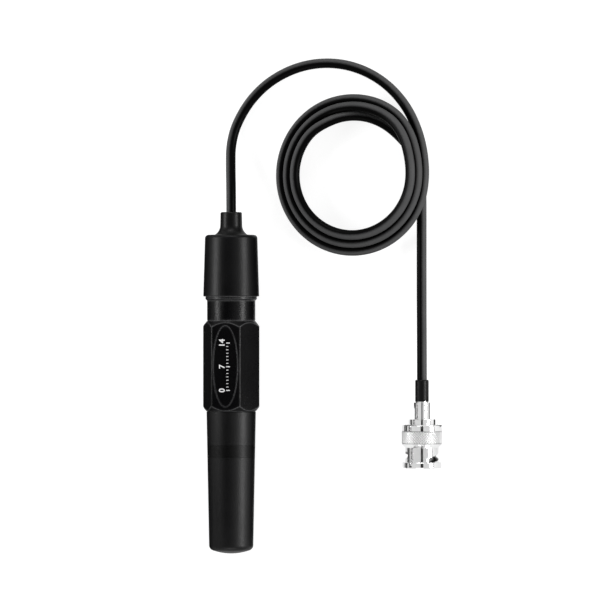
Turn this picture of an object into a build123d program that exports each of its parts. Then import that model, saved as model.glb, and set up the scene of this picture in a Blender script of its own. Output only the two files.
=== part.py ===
# A pH electrode with a six-sided grip, a storage cap, and a coiled lead ending in a bayonet plug.
# The electrode and the plug lie on their sides on the floor, z = 0, with their axes along Y.
# The electrode's axis is over x = 0 and the middle of its length is over y = 0. Its lead leaves towards +Y.
# The plug's axis is parallel to it, and its open end points towards -Y.

from build123d import *
from math import cos, pi, radians, sin, sqrt, tan
import os

os.makedirs("parts", exist_ok=True)

# Fits, as the gap on each side
bond_gap = 0.05     # glued and pressed pieces
running_gap = 0.10  # pieces that move past each other

# Electrode, lengths of what shows, from the storage cap's end to the lead
storage_cap_length = 50.7
grip_length = 32.4
neck_length = 7.0
collar_chamfer = 0.6
collar_length = 0.9
top_cap_length = 22.0
relief_length = 8.1

# Electrode, outside radii
storage_mouth_radius = 8.80
storage_end_radius = 7.86
storage_crown_radius = 19.6
storage_end_fillet = 1.9
grip_across_flats = 18.10
grip_edge_rounding = 1.1      # of the six long edges
grip_lower_end_radius = 8.85
grip_upper_end_radius = 8.40
grip_blank_radius = 10.6      # just outside the six edges, where the cones that turn the ends begin
grip_end_slope = 50.0         # degrees of those cones from the end faces
neck_radius = 8.60
collar_radius = 9.18
top_cap_rim_radius = 9.97
top_cap_shoulder_radius = 9.32
top_cap_shoulder_fillet = 1.3
relief_tip_radius = 3.82
relief_waist_radius = 3.92
relief_flare_radius = 5.95
relief_flare_length = 3.5
relief_tip_fillet = 0.5

# The flat panel on the grip's upper face
panel_half_width = 4.50
panel_half_length = 14.4
panel_depth = 0.15
panel_offset = 0.1           # from the middle of the grip, towards the storage cap

# Storage cap, inside
mouth_bore_radius = 7.60
mouth_bore_length = 9.6
chamber_radius = 6.80
chamber_end_wall = 2.2
band_width = 4.5
band_depth = 0.8
band_from_mouth = 11.9
sponge_thickness = 2.0

# Shaft, glass and seals
shaft_radius = 6.0           # the standard 12 mm shaft
shaft_wall = 1.2
shaft_tip_to_cap_end = 9.1
shaft_top_below_grip_top = 6.0
guard_slot_width = 3.0
guard_slot_length = 9.0
stem_radius = 3.0
stem_wall = 0.7
stem_above_shaft = 6.0
bulb_radius = 4.0
bulb_wall = 0.35
bulb_recess = 1.4            # how far the bulb stays behind the guard's tip
seal_thickness = 3.0
seal_above_bulb = 1.0
upper_seal_thickness = 4.0
stopper_length = 4.0
stopper_flange = 1.0
junction_radius = 0.6
junction_overhang = 0.8
wire_ring_radius = 3.9       # from the axis to the reference wire and to the junction
inner_wire_radius = 0.25
reference_wire_radius = 0.30
reference_wire_above_seal = 5.5
nose_radius = 7.40
nose_length = 8.2
nose_groove_depth = 0.80
nose_ring_section = 0.90
nose_groove_from_end = 3.0
spigot_radius = 7.40
spigot_length = 11.0
spigot_groove_depth = 0.70
spigot_ring_section = 0.70
spigot_groove_from_rim = 6.0
wire_chamber_radius = 5.0

# Top cap, strain relief and the end of the lead inside them
top_cap_wall = 2.5
top_cap_chamber_radius = 6.9
relief_neck_radius = 3.50
relief_flange_radius = 4.80
relief_flange_thickness = 1.5
clamp_radius = 3.2
clamp_length = 3.0
jacket_below_clamp = 0.8
core_radius = 0.75
core_length = 10.3
conductor_radius = 0.25
conductor_length = 4.0
crimp_wall = 0.45
crimp_length = 6.0
screen_tail_radius = 0.35
screen_tail_start = 1.25     # from the axis, where it leaves the jacket

# Lead
lead_radius = 1.75
lead_start_in_relief = 5.65  # from the strain relief's tip back to the start of the free lead

# Plug, lengths from the lead's end to the open end
plug_x = 68.8
plug_rear_y = 1.25
sleeve_length = 7.7
ferrule_lip_length = 0.35
ferrule_length = 5.9
rear_flange_length = 1.7
rear_flange_gap = 0.3
nut_ring_length = 2.1
nut_knurl_length = 4.6
nut_chamfer_length = 1.3
nut_barrel_length = 5.1
nut_rim_length = 2.2

# Plug, radii
sleeve_radius = 2.4
sleeve_end_fillet = 0.45
ferrule_radius = 2.88
ferrule_lip_radius = 2.2
ferrule_wall = 0.65
ferrule_grip_length = 2.4    # the narrow part of its bore, which holds the jacket
body_stem_radius = 1.95
body_stem_length = 3.2
body_bore_radius = 0.85
rear_flange_radius = 4.8
shank_radius = 4.65
front_flange_radius = 6.0
front_flange_thickness = 1.2
body_nose_radius = 4.70
body_nose_length = 1.1
nut_ring_radius = 7.10
nut_knurl_radius = 7.25
nut_barrel_radius = 5.93
nut_rim_radius = 6.95
nut_bore_radius = 4.925
nut_chamber_radius = 6.30
nut_chamber_length = 6.6
clip_groove_depth = 0.35
clip_groove_from_rear = 1.1
clip_thickness = 0.7
clip_inner_radius = 4.95
clip_gap = 2.5
washer_thickness = 0.6
spring_thickness = 0.35
contact_radius = 4.05
contact_wall = 0.55
contact_seat_radius = 3.85
contact_from_front = 1.2
contact_seat_depth = 2.0
contact_slot_width = 0.45
contact_slot_length = 5.2
contact_slot_count = 6
insulator_front_from_nose = 1.1
insulator_length = 7.9
pin_radius = 0.675
pin_neck_radius = 0.9
pin_barrel_radius = 1.2
pin_barrel_length = 5.6
pin_from_front = 1.8
pin_tip_length = 0.6
gasket_thickness = 1.1

# Bayonet slots, two of them, half a turn apart
slot_width = 2.2
slot_entry_radius = 5.75     # how deep the way in is cut into the front rim
slot_entry_angle = 35.0      # degrees from +Z towards +X
slot_sweep = 88.0            # degrees from the way in to the detent
slot_first_from_front = 2.75
slot_rise = 2.1
slot_steps = 8
slot_overcut = 0.1           # how far the cutter stands out of the barrel, short of the rim's outside
slot_count = 2

# Coil of three turns, each a little smaller and higher, with its far side on the floor and its near
# side on the lead that leaves under it
coil_x = 43.3
coil_y = 74.1
outer_turn_radius = 26.8
inner_turn_radius = 21.5
inner_turn_rise = 4.7        # of the inner turn's centre line over the outer one's
coil_side_lift = 3.6

# The lead's way from the strain relief to the coil, and from the coil to the plug
route_to_coil = [
    (0.0, 66.6, 9.97),
    (-1.1, 77.4, 6.2),
    (-1.6, 84.9, 3.9),
    (0.0, 92.4, 2.6),
    (5.1, 101.3, 1.9),
    (12.8, 108.4, 1.75),
    (22.9, 113.1, 1.75),
    (33.6, 114.5, 1.75),
    (44.3, 112.6, 1.75),
    (54.3, 107.2, 1.75),
    (62.2, 98.7, 1.9),
    (67.3, 88.0, 3.4),
    (69.4, 77.5, 5.2),
    (69.0, 68.7, 5.3),
]
route_from_coil = [
    (31.8, 91.7, 6.65),
    (39.2, 95.0, 5.0),
    (47.2, 95.5, 3.0),
    (54.2, 93.3, 1.85),
    (60.2, 89.0, 1.75),
    (64.7, 83.1, 1.75),
    (67.2, 75.8, 1.75),
    (67.6, 66.6, 1.75),
    (67.6, 30.0, 1.75),
    (68.8, 8.0, 7.25),
]

# Stations along the electrode
overall_length = (storage_cap_length + running_gap + grip_length + neck_length + collar_chamfer
                  + collar_length + top_cap_length + relief_length)
cap_end_y = -overall_length / 2
cap_mouth_y = cap_end_y + storage_cap_length
grip_bottom_y = cap_mouth_y + running_gap
grip_top_y = grip_bottom_y + grip_length
neck_top_y = grip_top_y + neck_length
collar_y = neck_top_y + collar_chamfer
rim_y = collar_y + collar_length
cap_top_y = rim_y + top_cap_length
relief_tip_y = cap_top_y + relief_length
nose_end_y = grip_bottom_y - nose_length
shaft_tip_y = cap_end_y + shaft_tip_to_cap_end
shaft_top_y = grip_top_y - shaft_top_below_grip_top
stem_top_y = shaft_top_y + stem_above_shaft
bulb_y = shaft_tip_y + bulb_recess + bulb_radius
seal_bottom_y = bulb_y + bulb_radius + seal_above_bulb
relief_flange_y = cap_top_y - top_cap_wall - relief_flange_thickness
clamp_top_y = relief_flange_y - bond_gap
lead_start_y = relief_tip_y - lead_start_in_relief
jacket_end_y = clamp_top_y - clamp_length - jacket_below_clamp
core_end_y = jacket_end_y - core_length
signal_crimp_top_y = core_end_y - bond_gap
signal_crimp_bottom_y = signal_crimp_top_y - crimp_length
inner_wire_top_y = signal_crimp_top_y - crimp_length / 2 - bond_gap
screen_crimp_top_y = shaft_top_y + 2 * crimp_length
screen_crimp_middle_y = screen_crimp_top_y - crimp_length / 2
reference_wire_top_y = screen_crimp_middle_y - bond_gap
reference_wire_end_y = seal_bottom_y + seal_thickness + reference_wire_above_seal

# Stations along the plug
sleeve_end_y = plug_rear_y - sleeve_length
ferrule_rear_y = sleeve_end_y - ferrule_lip_length
ferrule_front_y = ferrule_rear_y - ferrule_length
ferrule_grip_y = ferrule_rear_y - ferrule_grip_length
body_rear_y = ferrule_front_y - bond_gap
body_stem_end_y = body_rear_y + body_stem_length
rear_flange_front_y = body_rear_y - rear_flange_length
nut_rear_y = rear_flange_front_y - rear_flange_gap
knurl_rear_y = nut_rear_y - nut_ring_length
knurl_front_y = knurl_rear_y - nut_knurl_length
barrel_rear_y = knurl_front_y - nut_chamfer_length
rim_rear_y = barrel_rear_y - nut_barrel_length
nut_front_y = rim_rear_y - nut_rim_length
nut_shoulder_y = nut_rear_y - nut_chamber_length
flange_front_y = nut_shoulder_y + running_gap
flange_rear_y = flange_front_y + front_flange_thickness
body_nose_y = flange_front_y - body_nose_length
contact_seat_y = body_nose_y + contact_seat_depth
contact_tip_y = nut_front_y + contact_from_front
contact_finger_y = contact_tip_y + contact_slot_length
insulator_front_y = body_nose_y - insulator_front_from_nose
insulator_rear_y = insulator_front_y + insulator_length
pin_tip_y = nut_front_y + pin_from_front
pin_barrel_rear_y = insulator_rear_y - bond_gap
pin_barrel_front_y = pin_barrel_rear_y - pin_barrel_length
lead_end_y = body_stem_end_y + 2 * bond_gap
core_front_y = insulator_rear_y + bond_gap
clip_rear_y = nut_rear_y - clip_groove_from_rear
washer_rear_y = clip_rear_y - clip_thickness - running_gap
washer_front_y = washer_rear_y - washer_thickness
pin_neck_front_y = insulator_front_y - bond_gap
gasket_rear_y = body_nose_y - bond_gap

# Both axes, and the planes whose x is the radius and whose y is the station along the axis
axis_height = top_cap_rim_radius
plug_height = nut_knurl_radius
probe_plane = Plane(origin=(0, 0, axis_height))
probe_axis = Axis((0, 0, axis_height), (0, 1, 0))
plug_plane = Plane(origin=(plug_x, 0, plug_height))
plug_axis = Axis((plug_x, 0, plug_height), (0, 1, 0))


def band(inner, outer, start, end):
    """Draws the section of a ring, from one radius to another and from one station to another."""
    with Locations(((inner + outer) / 2, (start + end) / 2)):
        Rectangle(outer - inner, abs(end - start))


def cut_band(inner, outer, start, end):
    """Takes the section of a groove or a bore out of the profile."""
    with Locations(((inner + outer) / 2, (start + end) / 2)):
        Rectangle(outer - inner, abs(end - start), mode=Mode.SUBTRACT)


def corner(profile, radius, station):
    """The profile's corner nearest to a radius and a station."""
    return profile.vertices().sort_by_distance((radius, station))[0]


def circle_drop(radius, reach):
    """How far a circle falls away from its tangent at this reach from the middle."""
    return radius - sqrt(radius ** 2 - reach ** 2)


def storage_radius(station):
    """Outside radius of the tapered storage cap at a station."""
    share = (station - cap_end_y) / storage_cap_length
    return storage_end_radius + share * (storage_mouth_radius - storage_end_radius)


def corner_radii(route):
    """Radius of each corner's arc: 0.45 of the shorter run beside it, over the tangent of half the turn."""
    radii = []
    for before, here, after in zip(route, route[1:], route[2:]):
        run_in = Vector(*here) - Vector(*before)
        run_out = Vector(*after) - Vector(*here)
        half_turn = radians(run_in.get_angle(run_out) / 2)
        radii.append(0.45 * min(run_in.length, run_out.length) / tan(half_turn))
    return radii


# Storage cap: one moulded piece, tapered outside, with a wide mouth that slides over the grip's nose
side_drop = circle_drop(storage_crown_radius, storage_end_radius)
crown_middle = storage_end_radius / 2
band_rear_y = cap_mouth_y - band_from_mouth
band_front_y = band_rear_y - band_width
chamber_floor_y = cap_end_y + chamber_end_wall

with BuildPart() as storage_cap:
    with BuildSketch(probe_plane) as storage_profile:
        with BuildLine():
            crown = ThreePointArc(
                (0, cap_end_y),
                (crown_middle, cap_end_y + circle_drop(storage_crown_radius, crown_middle)),
                (storage_end_radius, cap_end_y + side_drop),
            )
            Polyline(
                crown @ 1,
                (storage_mouth_radius, cap_mouth_y),
                (mouth_bore_radius, cap_mouth_y),
                (mouth_bore_radius, cap_mouth_y - mouth_bore_length),
                (chamber_radius, cap_mouth_y - mouth_bore_length - (mouth_bore_radius - chamber_radius)),
                (chamber_radius, chamber_floor_y),
                (0, chamber_floor_y),
                (0, cap_end_y),
            )
        make_face()
        fillet(corner(storage_profile, storage_end_radius, cap_end_y + side_drop), storage_end_fillet)
        fillet(corner(storage_profile, storage_mouth_radius, cap_mouth_y), 0.25)
        cut_band(storage_radius(band_front_y) - band_depth, storage_mouth_radius, band_front_y, band_rear_y)
    revolve(axis=probe_axis)

storage_cap.part.label = "storage_cap"
export_step(storage_cap.part, "parts/storage_cap.step")

# Band: a soft rubber ring that fills the groove and lies flush with the taper
with BuildPart() as storage_cap_band:
    with BuildSketch(probe_plane):
        with BuildLine():
            Polyline(
                (storage_radius(band_front_y) - band_depth + bond_gap, band_front_y + bond_gap),
                (storage_radius(band_front_y), band_front_y + bond_gap),
                (storage_radius(band_rear_y), band_rear_y - bond_gap),
                (storage_radius(band_front_y) - band_depth + bond_gap, band_rear_y - bond_gap),
                close=True,
            )
        make_face()
    revolve(axis=probe_axis)

storage_cap_band.part.label = "storage_cap_band"
export_step(storage_cap_band.part, "parts/storage_cap_band.step")

# Sponge: a soaked disc on the floor of the cap's chamber, which keeps the glass wet
with BuildPart() as storage_sponge:
    with BuildSketch(probe_plane):
        band(0, chamber_radius - bond_gap, chamber_floor_y, chamber_floor_y + sponge_thickness)
    revolve(axis=probe_axis)

storage_sponge.part.label = "storage_sponge"
export_step(storage_sponge.part, "parts/storage_sponge.step")

# Grip body: a six-sided bar with softened edges and turned ends, with a nose below and a neck, collar
# and spigot above, bored right through
grip_end_plane = Plane(origin=(0, grip_bottom_y, axis_height), x_dir=(1, 0, 0), z_dir=(0, 1, 0))
upper_flat_z = axis_height + grip_across_flats / 2
panel_y = (grip_bottom_y + grip_top_y) / 2 - panel_offset
lower_cone_length = (grip_blank_radius - grip_lower_end_radius) * tan(radians(grip_end_slope))
upper_cone_length = (grip_blank_radius - grip_upper_end_radius) * tan(radians(grip_end_slope))

with BuildPart() as grip_body:
    with BuildSketch(grip_end_plane) as grip_section:
        RegularPolygon(radius=grip_across_flats / 2, side_count=6, major_radius=False)
        fillet(grip_section.vertices(), grip_edge_rounding)
    extrude(amount=grip_length)
    with BuildSketch(probe_plane):
        with BuildLine():
            Polyline(
                (0, grip_bottom_y),
                (grip_lower_end_radius, grip_bottom_y),
                (grip_blank_radius, grip_bottom_y + lower_cone_length),
                (grip_blank_radius, grip_top_y - upper_cone_length),
                (grip_upper_end_radius, grip_top_y),
                (0, grip_top_y),
                close=True,
            )
        make_face()
    revolve(axis=probe_axis, mode=Mode.INTERSECT)
    with BuildSketch(Plane.XY.offset(upper_flat_z)):
        with Locations((0, panel_y)):
            Ellipse(panel_half_width, panel_half_length)
    extrude(amount=-panel_depth, mode=Mode.SUBTRACT)
    with BuildSketch(probe_plane):
        with BuildLine():
            Polyline(
                (0, grip_top_y),
                (neck_radius, grip_top_y),
                (neck_radius, neck_top_y),
                (collar_radius, collar_y),
                (collar_radius, rim_y),
                (spigot_radius, rim_y),
                (spigot_radius, rim_y + spigot_length),
                (0, rim_y + spigot_length),
                close=True,
            )
        make_face()
        cut_band(
            spigot_radius - spigot_groove_depth,
            spigot_radius,
            rim_y + spigot_groove_from_rim,
            rim_y + spigot_groove_from_rim + spigot_ring_section + running_gap,
        )
    revolve(axis=probe_axis)
    with BuildSketch(probe_plane):
        band(0, nose_radius, nose_end_y, grip_bottom_y)
        cut_band(
            nose_radius - nose_groove_depth,
            nose_radius,
            nose_end_y + nose_groove_from_end,
            nose_end_y + nose_groove_from_end + nose_ring_section + running_gap,
        )
    revolve(axis=probe_axis)
    with BuildSketch(probe_plane):
        band(0, shaft_radius + bond_gap, nose_end_y, shaft_top_y)
        band(0, wire_chamber_radius, shaft_top_y, rim_y + spigot_length)
    revolve(axis=probe_axis, mode=Mode.SUBTRACT)

grip_body.part.label = "grip_body"
export_step(grip_body.part, "parts/grip_body.step")

# O-ring on the nose: it seals the storage cap and holds it on by its squeeze
with BuildPart() as nose_ring:
    with BuildSketch(probe_plane):
        with Locations((
            nose_radius - nose_groove_depth + nose_ring_section / 2,
            nose_end_y + nose_groove_from_end + (nose_ring_section + running_gap) / 2,
        )):
            Circle(nose_ring_section / 2)
    revolve(axis=probe_axis)

nose_ring.part.label = "nose_ring"
export_step(nose_ring.part, "parts/nose_ring.step")

# O-ring on the spigot: it keeps damp out of the joint with the top cap
with BuildPart() as spigot_ring:
    with BuildSketch(probe_plane):
        with Locations((
            spigot_radius - spigot_groove_depth + spigot_ring_section / 2,
            rim_y + spigot_groove_from_rim + (spigot_ring_section + running_gap) / 2,
        )):
            Circle(spigot_ring_section / 2)
    revolve(axis=probe_axis)

spigot_ring.part.label = "spigot_ring"
export_step(spigot_ring.part, "parts/spigot_ring.step")

# Shaft: a moulded tube bonded into the grip, whose tip is cut into a four-pronged guard
with BuildPart() as shaft:
    with BuildSketch(probe_plane):
        band(shaft_radius - shaft_wall, shaft_radius, shaft_tip_y, shaft_top_y)
    revolve(axis=probe_axis)
    with BuildSketch(Plane(origin=(0, shaft_tip_y, axis_height), x_dir=(1, 0, 0), z_dir=(0, 1, 0))):
        with Locations(Rotation(0, 0, 45)):
            Rectangle(guard_slot_width, 3 * shaft_radius)
            Rectangle(3 * shaft_radius, guard_slot_width)
    extrude(amount=guard_slot_length, mode=Mode.SUBTRACT)

shaft.part.label = "shaft"
export_step(shaft.part, "parts/shaft.step")

# Glass sensor: a tube blown out into a thin round bulb, which is the part that senses
with BuildPart() as glass_sensor:
    with BuildSketch(probe_plane):
        with Locations((0, bulb_y)):
            Circle(bulb_radius)
        band(0, stem_radius, bulb_y, stem_top_y)
        with Locations((0, bulb_y)):
            Circle(bulb_radius - bulb_wall, mode=Mode.SUBTRACT)
        cut_band(0, stem_radius - stem_wall, bulb_y, stem_top_y)
        cut_band(-2 * bulb_radius, 0, bulb_y - 2 * bulb_radius, stem_top_y)
    revolve(axis=probe_axis)

glass_sensor.part.label = "glass_sensor"
export_step(glass_sensor.part, "parts/glass_sensor.step")

# Stopper: a rubber plug with a flange that closes the glass, round the inner wire
with BuildPart() as stem_stopper:
    with BuildSketch(probe_plane):
        band(0, stem_radius - stem_wall - bond_gap, stem_top_y - stopper_length, stem_top_y)
        band(0, stem_radius, stem_top_y, stem_top_y + stopper_flange)
        cut_band(0, inner_wire_radius + bond_gap, stem_top_y - stopper_length, stem_top_y + stopper_flange)
    revolve(axis=probe_axis)

stem_stopper.part.label = "stem_stopper"
export_step(stem_stopper.part, "parts/stem_stopper.step")

# Inner wire: chlorided silver, from the filling in the bulb up to the signal crimp
with BuildPart() as inner_wire:
    with BuildSketch(probe_plane):
        band(0, inner_wire_radius, bulb_y, inner_wire_top_y)
    revolve(axis=probe_axis)

inner_wire.part.label = "inner_wire"
export_step(inner_wire.part, "parts/inner_wire.step")


def rod_plane(side_x, station):
    """The plane across the electrode at a station, centred on a wire beside the axis."""
    return Plane(origin=(side_x, station, axis_height), x_dir=(1, 0, 0), z_dir=(0, 1, 0))


# Lower seal: closes the gel space above the bulb, with a hole for the junction
with BuildPart() as lower_seal:
    with BuildSketch(probe_plane):
        band(
            stem_radius + bond_gap,
            shaft_radius - shaft_wall - bond_gap,
            seal_bottom_y,
            seal_bottom_y + seal_thickness,
        )
    revolve(axis=probe_axis)
    with BuildSketch(rod_plane(-wire_ring_radius, seal_bottom_y)):
        Circle(junction_radius + bond_gap)
    extrude(amount=seal_thickness, mode=Mode.SUBTRACT)

lower_seal.part.label = "lower_seal"
export_step(lower_seal.part, "parts/lower_seal.step")

# Junction: a porous ceramic rod through the lower seal
with BuildPart() as ceramic_junction:
    with BuildSketch(rod_plane(-wire_ring_radius, seal_bottom_y - junction_overhang)):
        Circle(junction_radius)
    extrude(amount=seal_thickness + 2 * junction_overhang)

ceramic_junction.part.label = "ceramic_junction"
export_step(ceramic_junction.part, "parts/ceramic_junction.step")

# Upper seal: cast resin that holds the glass and the reference wire in the top of the shaft
with BuildPart() as upper_seal:
    with BuildSketch(probe_plane):
        band(
            stem_radius + bond_gap,
            shaft_radius - shaft_wall - bond_gap,
            shaft_top_y - upper_seal_thickness,
            shaft_top_y,
        )
    revolve(axis=probe_axis)
    with BuildSketch(rod_plane(wire_ring_radius, shaft_top_y - upper_seal_thickness)):
        Circle(reference_wire_radius + bond_gap)
    extrude(amount=upper_seal_thickness, mode=Mode.SUBTRACT)

upper_seal.part.label = "upper_seal"
export_step(upper_seal.part, "parts/upper_seal.step")

# Reference wire: chlorided silver in the gel beside the glass, up to the screen crimp
with BuildPart() as reference_wire:
    with BuildSketch(rod_plane(wire_ring_radius, reference_wire_end_y)):
        Circle(reference_wire_radius)
    extrude(amount=reference_wire_top_y - reference_wire_end_y)

reference_wire.part.label = "reference_wire"
export_step(reference_wire.part, "parts/reference_wire.step")

# Top cap: a tapered shell pushed over the spigot, with a hole for the strain relief
with BuildPart() as top_cap:
    with BuildSketch(probe_plane) as top_cap_profile:
        with BuildLine():
            Polyline(
                (relief_neck_radius + bond_gap, cap_top_y),
                (top_cap_shoulder_radius, cap_top_y),
                (top_cap_rim_radius, rim_y),
                (spigot_radius + bond_gap, rim_y),
                (spigot_radius + bond_gap, rim_y + spigot_length + bond_gap),
                (top_cap_chamber_radius, rim_y + spigot_length + bond_gap),
                (top_cap_chamber_radius, cap_top_y - top_cap_wall),
                (relief_neck_radius + bond_gap, cap_top_y - top_cap_wall),
                close=True,
            )
        make_face()
        fillet(corner(top_cap_profile, top_cap_shoulder_radius, cap_top_y), top_cap_shoulder_fillet)
        fillet(corner(top_cap_profile, top_cap_rim_radius, rim_y), 0.3)
    revolve(axis=probe_axis)

top_cap.part.label = "top_cap"
export_step(top_cap.part, "parts/top_cap.step")

# Strain relief: a soft boot that flares onto the top cap and snaps into its hole with a flange inside
with BuildPart() as strain_relief:
    with BuildSketch(probe_plane) as relief_profile:
        with BuildLine():
            flare = TangentArc(
                (relief_waist_radius, cap_top_y + relief_flare_length),
                (relief_flare_radius, cap_top_y),
                tangent=(0, -1),
            )
            Polyline(
                flare @ 0,
                (relief_tip_radius, relief_tip_y),
                (lead_radius + bond_gap, relief_tip_y),
                (lead_radius + bond_gap, relief_flange_y),
                (relief_flange_radius, relief_flange_y),
                (relief_flange_radius, relief_flange_y + relief_flange_thickness),
                (relief_neck_radius, relief_flange_y + relief_flange_thickness),
                (relief_neck_radius, cap_top_y),
                flare @ 1,
            )
        make_face()
        fillet(corner(relief_profile, relief_tip_radius, relief_tip_y), relief_tip_fillet)
    revolve(axis=probe_axis)

strain_relief.part.label = "strain_relief"
export_step(strain_relief.part, "parts/strain_relief.step")

# Clamp: a ring crimped on the jacket below the strain relief, so that a pull can't reach the wires
with BuildPart() as cable_clamp:
    with BuildSketch(probe_plane):
        band(lead_radius + bond_gap, clamp_radius, clamp_top_y - clamp_length, clamp_top_y)
    revolve(axis=probe_axis)

cable_clamp.part.label = "cable_clamp"
export_step(cable_clamp.part, "parts/cable_clamp.step")

# Jacket end: the held end of the lead, from inside the strain relief to just below the clamp
with BuildPart() as jacket_end:
    with BuildSketch(probe_plane):
        band(0, lead_radius, jacket_end_y, lead_start_y)
    revolve(axis=probe_axis)

jacket_end.part.label = "jacket_end"
export_step(jacket_end.part, "parts/jacket_end.step")

# Lead core: the insulated centre conductor, with its end bared for the signal crimp
with BuildPart() as lead_core:
    with BuildSketch(probe_plane):
        band(0, core_radius, core_end_y, jacket_end_y)
        band(0, conductor_radius, core_end_y - crimp_length / 2, core_end_y)
    revolve(axis=probe_axis)

lead_core.part.label = "lead_core"
export_step(lead_core.part, "parts/lead_core.step")

# Signal crimp: a small tube that joins the conductor to the inner wire
with BuildPart() as signal_crimp:
    with BuildSketch(probe_plane):
        band(
            conductor_radius + bond_gap,
            conductor_radius + bond_gap + crimp_wall,
            signal_crimp_bottom_y,
            signal_crimp_top_y,
        )
    revolve(axis=probe_axis)

signal_crimp.part.label = "signal_crimp"
export_step(signal_crimp.part, "parts/signal_crimp.step")

# Screen tail: the lead's braid, twisted into a wire that bends aside to the screen crimp
tail_bend_y = jacket_end_y - 4.0
tail_down_y = tail_bend_y - 5.0

with BuildPart() as screen_tail:
    with BuildLine(probe_plane) as tail_path:
        FilletPolyline(
            (screen_tail_start, jacket_end_y),
            (screen_tail_start, tail_bend_y),
            (wire_ring_radius, tail_down_y),
            (wire_ring_radius, screen_crimp_middle_y + bond_gap),
            radius=3 * screen_tail_radius,
        )
    with BuildSketch(Plane(origin=tail_path.line @ 0, z_dir=tail_path.line % 0)):
        Circle(screen_tail_radius)
    sweep()

screen_tail.part.label = "screen_tail"
export_step(screen_tail.part, "parts/screen_tail.step")

# Screen crimp: joins the screen tail to the reference wire
with BuildPart() as screen_crimp:
    with BuildSketch(rod_plane(wire_ring_radius, screen_crimp_top_y)):
        Circle(screen_tail_radius + bond_gap + crimp_wall)
        Circle(screen_tail_radius + bond_gap, mode=Mode.SUBTRACT)
    extrude(amount=-crimp_length)

screen_crimp.part.label = "screen_crimp"
export_step(screen_crimp.part, "parts/screen_crimp.step")

# Plug sleeve: rubber tube over the lead where it enters the plug
with BuildPart() as plug_sleeve:
    with BuildSketch(plug_plane) as sleeve_profile:
        band(lead_radius + bond_gap, sleeve_radius, sleeve_end_y, plug_rear_y)
        fillet(corner(sleeve_profile, sleeve_radius, plug_rear_y), sleeve_end_fillet)
    revolve(axis=plug_axis)

plug_sleeve.part.label = "plug_sleeve"
export_step(plug_sleeve.part, "parts/plug_sleeve.step")

# Ferrule: a plated tube with a narrow lip, crimped over the jacket and over the braid on the body's stem
with BuildPart() as crimp_ferrule:
    with BuildSketch(plug_plane):
        band(lead_radius + bond_gap, ferrule_lip_radius, ferrule_rear_y, sleeve_end_y)
        band(lead_radius + bond_gap, ferrule_radius, ferrule_grip_y, ferrule_rear_y)
        band(ferrule_radius - ferrule_wall, ferrule_radius, ferrule_front_y, ferrule_grip_y)
    revolve(axis=plug_axis)

crimp_ferrule.part.label = "crimp_ferrule"
export_step(crimp_ferrule.part, "parts/crimp_ferrule.step")

# Braid: the lead's screen, folded back and held between the stem and the ferrule
with BuildPart() as plug_braid:
    with BuildSketch(plug_plane):
        band(body_stem_radius, ferrule_radius - ferrule_wall - bond_gap, ferrule_front_y, body_stem_end_y)
    revolve(axis=plug_axis)

plug_braid.part.label = "plug_braid"
export_step(plug_braid.part, "parts/plug_braid.step")

# Plug body: a turned piece with a stem, a rear flange, a shank for the nut's spring and a front flange
with BuildPart() as plug_body:
    with BuildSketch(plug_plane):
        band(body_bore_radius, body_stem_radius, body_rear_y, body_stem_end_y)
        band(body_bore_radius, rear_flange_radius, rear_flange_front_y, body_rear_y)
        band(body_bore_radius, shank_radius, flange_rear_y, rear_flange_front_y)
        band(body_bore_radius, front_flange_radius, flange_front_y, flange_rear_y)
        band(body_bore_radius, body_nose_radius, body_nose_y, flange_front_y)
        cut_band(body_bore_radius, contact_seat_radius + bond_gap, body_nose_y, contact_seat_y)
        cut_band(body_bore_radius, contact_radius - contact_wall, contact_seat_y, insulator_rear_y + bond_gap)
    revolve(axis=plug_axis)

plug_body.part.label = "plug_body"
export_step(plug_body.part, "parts/plug_body.step")

# Outer contact: a springy sleeve pressed into the body's nose, slit into fingers
with BuildPart() as outer_contact:
    with BuildSketch(plug_plane):
        band(contact_radius - contact_wall, contact_radius, contact_tip_y, contact_finger_y)
        band(
            contact_radius - contact_wall,
            contact_seat_radius,
            contact_finger_y,
            contact_seat_y - bond_gap,
        )
    revolve(axis=plug_axis)
    with BuildSketch(Plane(origin=(plug_x, contact_tip_y, plug_height), x_dir=(1, 0, 0), z_dir=(0, 1, 0))):
        with PolarLocations(contact_radius, contact_slot_count):
            Rectangle(4 * contact_wall, contact_slot_width)
    extrude(amount=contact_slot_length, mode=Mode.SUBTRACT)

outer_contact.part.label = "outer_contact"
export_step(outer_contact.part, "parts/outer_contact.step")

# Insulator: white fluoropolymer that centres the pin
with BuildPart() as insulator:
    with BuildSketch(plug_plane):
        band(0, contact_radius - contact_wall - bond_gap, insulator_front_y, insulator_rear_y)
        cut_band(0, pin_barrel_radius + bond_gap, pin_barrel_front_y, insulator_rear_y)
        cut_band(0, pin_neck_radius + bond_gap, insulator_front_y, pin_barrel_front_y)
    revolve(axis=plug_axis)

insulator.part.label = "insulator"
export_step(insulator.part, "parts/insulator.step")

# Centre contact: a gilt pin whose barrel is crimped on the core's conductor
with BuildPart() as centre_contact:
    with BuildSketch(plug_plane):
        with BuildLine():
            Polyline(
                (0, pin_tip_y),
                (pin_radius / 2, pin_tip_y),
                (pin_radius, pin_tip_y + pin_tip_length),
                (pin_radius, pin_neck_front_y),
                (pin_neck_radius, pin_neck_front_y),
                (pin_neck_radius, pin_barrel_front_y),
                (pin_barrel_radius, pin_barrel_front_y),
                (pin_barrel_radius, pin_barrel_rear_y),
                (conductor_radius + bond_gap, pin_barrel_rear_y),
                (conductor_radius + bond_gap, pin_barrel_rear_y - conductor_length),
                (0, pin_barrel_rear_y - conductor_length),
                close=True,
            )
        make_face()
    revolve(axis=plug_axis)

centre_contact.part.label = "centre_contact"
export_step(centre_contact.part, "parts/centre_contact.step")

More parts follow.
